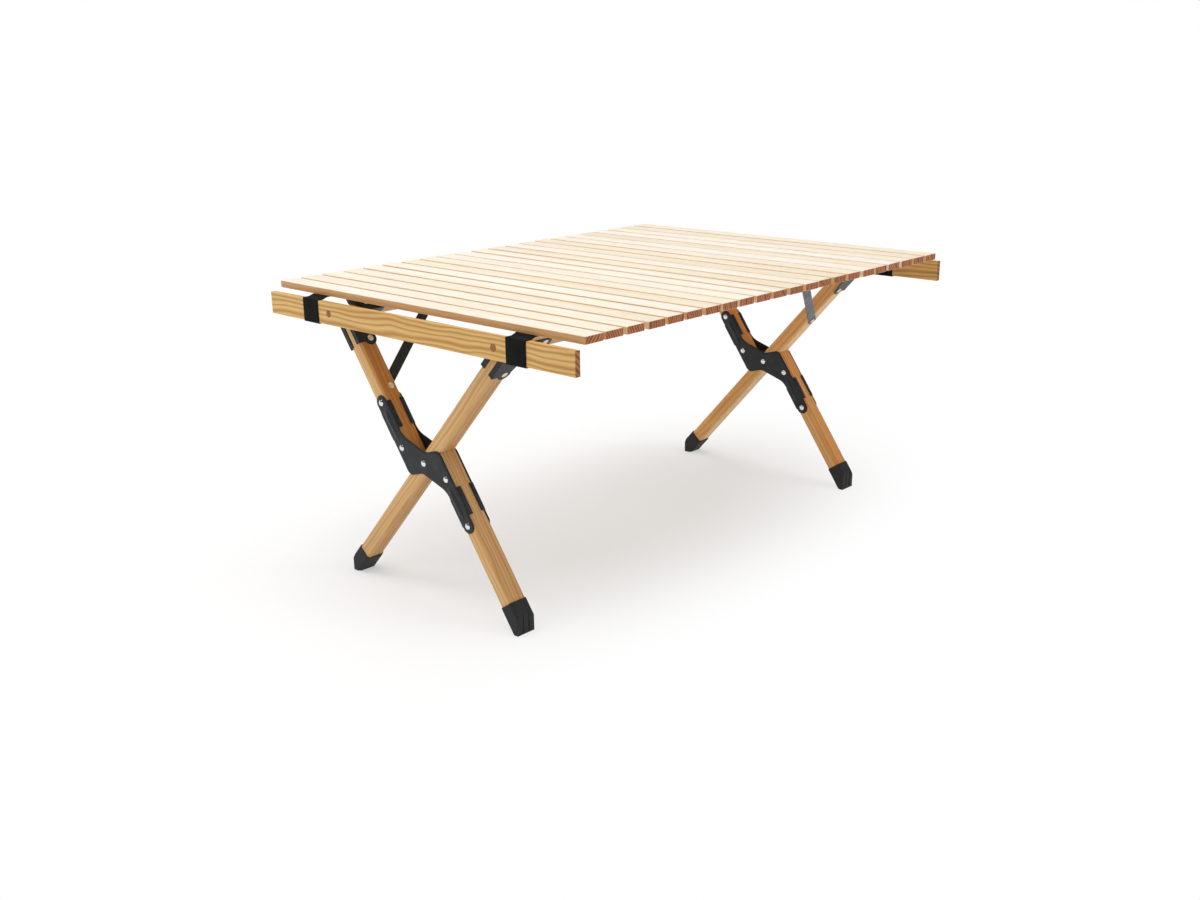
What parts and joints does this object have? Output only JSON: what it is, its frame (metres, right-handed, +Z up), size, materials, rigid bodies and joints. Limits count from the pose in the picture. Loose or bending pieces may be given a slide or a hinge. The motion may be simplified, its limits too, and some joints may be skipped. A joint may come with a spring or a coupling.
{
  "type": "roll top camp table",
  "caption": "Low wooden camp table whose slatted top rolls up on webbing straps and lifts off a folding X frame with steel plates and rubber feet.",
  "frame": {"origin": "on the floor, under the middle of the table", "axes": "+X along the table towards its far end, +Y along the slats, +Z up"},
  "size_m": [0.8302, 0.6, 0.411],
  "materials": {
    "slat_wood": "satin",
    "beam_wood": "satin",
    "leg_wood": "satin",
    "dowel_wood": "matte",
    "black_steel": "satin",
    "grey_steel": "satin",
    "bright_rivet": "polished",
    "pale_rivet": "satin",
    "rubber": "matte",
    "webbing": "woven"
  },
  "bodies": {
    "frame_a": {"rail_a": "leg_wood", "leg_a_near_upper": "leg_wood", "leg_a_near_lower": "leg_wood", "leg_a_far_upper": "leg_wood", "leg_a_far_lower": "leg_wood", "z_plate_near_outer": "black_steel", "z_plate_near_inner": "black_steel", "z_plate_far_inner": "black_steel", "z_plate_far_outer": "black_steel", "plate_rivets_near": "bright_rivet", "plate_rivets_far": "bright_rivet", "scissor_pin_near": "bright_rivet", "scissor_pin_far": "bright_rivet", "bracket_a_near": "black_steel", "bracket_a_far": "black_steel", "bracket_rivets_a": "pale_rivet", "brace_rivets_near": "pale_rivet", "foot_a_near": "rubber", "foot_a_far": "rubber"},
    "frame_b": {"rail_b": "leg_wood", "leg_b_near": "leg_wood", "leg_b_far": "leg_wood", "bracket_b_near": "black_steel", "bracket_b_far": "black_steel", "bracket_rivets_b": "pale_rivet", "brace_rivets_far": "pale_rivet", "foot_b_near": "rubber", "foot_b_far": "rubber"},
    "brace_a": {"brace_near": "black_steel"},
    "brace_b": {"brace_far": "grey_steel"},
    "near_end": {"beam_near": "beam_wood", "dowels_near": "dowel_wood"},
    "body_slat_01": {"slat_01": "slat_wood"},
    "body_slat_02": {"slat_02": "slat_wood"},
    "body_slat_03": {"slat_03": "slat_wood"},
    "body_slat_04": {"slat_04": "slat_wood"},
    "body_slat_05": {"slat_05": "slat_wood"},
    "body_slat_06": {"slat_06": "slat_wood"},
    "body_slat_07": {"slat_07": "slat_wood"},
    "body_slat_08": {"slat_08": "slat_wood"},
    "body_slat_09": {"slat_09": "slat_wood"},
    "body_slat_10": {"slat_10": "slat_wood"},
    "body_slat_11": {"slat_11": "slat_wood", "strap_left": "webbing", "strap_right": "webbing"},
    "body_slat_12": {"slat_12": "slat_wood"},
    "body_slat_13": {"slat_13": "slat_wood"},
    "body_slat_14": {"slat_14": "slat_wood"},
    "body_slat_15": {"slat_15": "slat_wood"},
    "body_slat_16": {"slat_16": "slat_wood"},
    "body_slat_17": {"slat_17": "slat_wood"},
    "body_slat_18": {"slat_18": "slat_wood"},
    "body_slat_19": {"slat_19": "slat_wood"},
    "body_slat_20": {"slat_20": "slat_wood"},
    "body_slat_21": {"slat_21": "slat_wood"},
    "body_slat_22": {"slat_22": "slat_wood"},
    "far_end": {"beam_far": "beam_wood", "dowels_far": "dowel_wood"}
  },
  "joints": [
    {"name": "top_lift", "type": "slide", "parent": "frame_a", "child": "body_slat_11", "axis": [0, 0, 1], "range_m": [0, 0.46]},
    {"name": "frame_fold", "type": "hinge", "parent": "frame_a", "child": "frame_b", "pos_m": [0, 0, 0.1985], "axis": [-1, 0, 0], "range_deg": [0, 76.6]},
    {"name": "brace_a_swing", "type": "hinge", "parent": "frame_a", "child": "brace_a", "pos_m": [-0.2167, 0.17728, 0.3809], "axis": [0, -0.8166, 0.5771], "range_deg": [0, 139]},
    {"name": "brace_b_swing", "type": "hinge", "parent": "frame_b", "child": "brace_b", "pos_m": [0.2167, -0.17851, 0.38099], "axis": [0, 0.7443, 0.6678], "range_deg": [0, 139]},
    {"name": "roll_01", "type": "hinge", "parent": "body_slat_01", "child": "near_end", "pos_m": [-0.4017, 0, 0.4003], "axis": [0, 1, 0], "range_deg": [0, 14]},
    {"name": "roll_02", "type": "hinge", "parent": "body_slat_02", "child": "body_slat_01", "pos_m": [-0.364, 0, 0.4003], "axis": [0, 1, 0], "range_deg": [0, 14]},
    {"name": "roll_03", "type": "hinge", "parent": "body_slat_03", "child": "body_slat_02", "pos_m": [-0.3276, 0, 0.4003], "axis": [0, 1, 0], "range_deg": [0, 14]},
    {"name": "roll_04", "type": "hinge", "parent": "body_slat_04", "child": "body_slat_03", "pos_m": [-0.2912, 0, 0.4003], "axis": [0, 1, 0], "range_deg": [0, 14]},
    {"name": "roll_05", "type": "hinge", "parent": "body_slat_05", "child": "body_slat_04", "pos_m": [-0.2548, 0, 0.4003], "axis": [0, 1, 0], "range_deg": [0, 14]},
    {"name": "roll_06", "type": "hinge", "parent": "body_slat_06", "child": "body_slat_05", "pos_m": [-0.2184, 0, 0.4003], "axis": [0, 1, 0], "range_deg": [0, 14]},
    {"name": "roll_07", "type": "hinge", "parent": "body_slat_07", "child": "body_slat_06", "pos_m": [-0.182, 0, 0.4003], "axis": [0, 1, 0], "range_deg": [0, 14]},
    {"name": "roll_08", "type": "hinge", "parent": "body_slat_08", "child": "body_slat_07", "pos_m": [-0.1456, 0, 0.4003], "axis": [0, 1, 0], "range_deg": [0, 14]},
    {"name": "roll_09", "type": "hinge", "parent": "body_slat_09", "child": "body_slat_08", "pos_m": [-0.1092, 0, 0.4003], "axis": [0, 1, 0], "range_deg": [0, 14]},
    {"name": "roll_10", "type": "hinge", "parent": "body_slat_10", "child": "body_slat_09", "pos_m": [-0.0728, 0, 0.4003], "axis": [0, 1, 0], "range_deg": [0, 14]},
    {"name": "roll_11", "type": "hinge", "parent": "body_slat_11", "child": "body_slat_10", "pos_m": [-0.0364, 0, 0.4003], "axis": [0, 1, 0], "range_deg": [0, 14]},
    {"name": "roll_12", "type": "hinge", "parent": "body_slat_11", "child": "body_slat_12", "pos_m": [0, 0, 0.4003], "axis": [0, -1, 0], "range_deg": [0, 14], "deforming": ["strap_left", "strap_right"]},
    {"name": "roll_13", "type": "hinge", "parent": "body_slat_12", "child": "body_slat_13", "pos_m": [0.0364, 0, 0.4003], "axis": [0, -1, 0], "range_deg": [0, 14]},
    {"name": "roll_14", "type": "hinge", "parent": "body_slat_13", "child": "body_slat_14", "pos_m": [0.0728, 0, 0.4003], "axis": [0, -1, 0], "range_deg": [0, 14]},
    {"name": "roll_15", "type": "hinge", "parent": "body_slat_14", "child": "body_slat_15", "pos_m": [0.1092, 0, 0.4003], "axis": [0, -1, 0], "range_deg": [0, 14]},
    {"name": "roll_16", "type": "hinge", "parent": "body_slat_15", "child": "body_slat_16", "pos_m": [0.1456, 0, 0.4003], "axis": [0, -1, 0], "range_deg": [0, 14]},
    {"name": "roll_17", "type": "hinge", "parent": "body_slat_16", "child": "body_slat_17", "pos_m": [0.182, 0, 0.4003], "axis": [0, -1, 0], "range_deg": [0, 14]},
    {"name": "roll_18", "type": "hinge", "parent": "body_slat_17", "child": "body_slat_18", "pos_m": [0.2184, 0, 0.4003], "axis": [0, -1, 0], "range_deg": [0, 14]},
    {"name": "roll_19", "type": "hinge", "parent": "body_slat_18", "child": "body_slat_19", "pos_m": [0.2548, 0, 0.4003], "axis": [0, -1, 0], "range_deg": [0, 14]},
    {"name": "roll_20", "type": "hinge", "parent": "body_slat_19", "child": "body_slat_20", "pos_m": [0.2912, 0, 0.4003], "axis": [0, -1, 0], "range_deg": [0, 14]},
    {"name": "roll_21", "type": "hinge", "parent": "body_slat_20", "child": "body_slat_21", "pos_m": [0.3276, 0, 0.4003], "axis": [0, -1, 0], "range_deg": [0, 14]},
    {"name": "roll_22", "type": "hinge", "parent": "body_slat_21", "child": "body_slat_22", "pos_m": [0.364, 0, 0.4003], "axis": [0, -1, 0], "range_deg": [0, 14]},
    {"name": "roll_23", "type": "hinge", "parent": "body_slat_22", "child": "far_end", "pos_m": [0.4017, 0, 0.4003], "axis": [0, -1, 0], "range_deg": [0, 14]}
  ],
  "couplings": [
    {"joint": "frame_fold", "follows": "top_lift", "rad_per_m": 2.906},
    {"joint": "roll_01", "follows": "roll_12", "ratio": 1},
    {"joint": "roll_02", "follows": "roll_12", "ratio": 1},
    {"joint": "roll_03", "follows": "roll_12", "ratio": 1},
    {"joint": "roll_04", "follows": "roll_12", "ratio": 1},
    {"joint": "roll_05", "follows": "roll_12", "ratio": 1},
    {"joint": "roll_06", "follows": "roll_12", "ratio": 1},
    {"joint": "roll_07", "follows": "roll_12", "ratio": 1},
    {"joint": "roll_08", "follows": "roll_12", "ratio": 1},
    {"joint": "roll_09", "follows": "roll_12", "ratio": 1},
    {"joint": "roll_10", "follows": "roll_12", "ratio": 1},
    {"joint": "roll_11", "follows": "roll_12", "ratio": 1},
    {"joint": "roll_13", "follows": "roll_12", "ratio": 1},
    {"joint": "roll_14", "follows": "roll_12", "ratio": 1},
    {"joint": "roll_15", "follows": "roll_12", "ratio": 1},
    {"joint": "roll_16", "follows": "roll_12", "ratio": 1},
    {"joint": "roll_17", "follows": "roll_12", "ratio": 1},
    {"joint": "roll_18", "follows": "roll_12", "ratio": 1},
    {"joint": "roll_19", "follows": "roll_12", "ratio": 1},
    {"joint": "roll_20", "follows": "roll_12", "ratio": 1},
    {"joint": "roll_21", "follows": "roll_12", "ratio": 1},
    {"joint": "roll_22", "follows": "roll_12", "ratio": 1},
    {"joint": "roll_23", "follows": "roll_12", "ratio": 1}
  ]
}
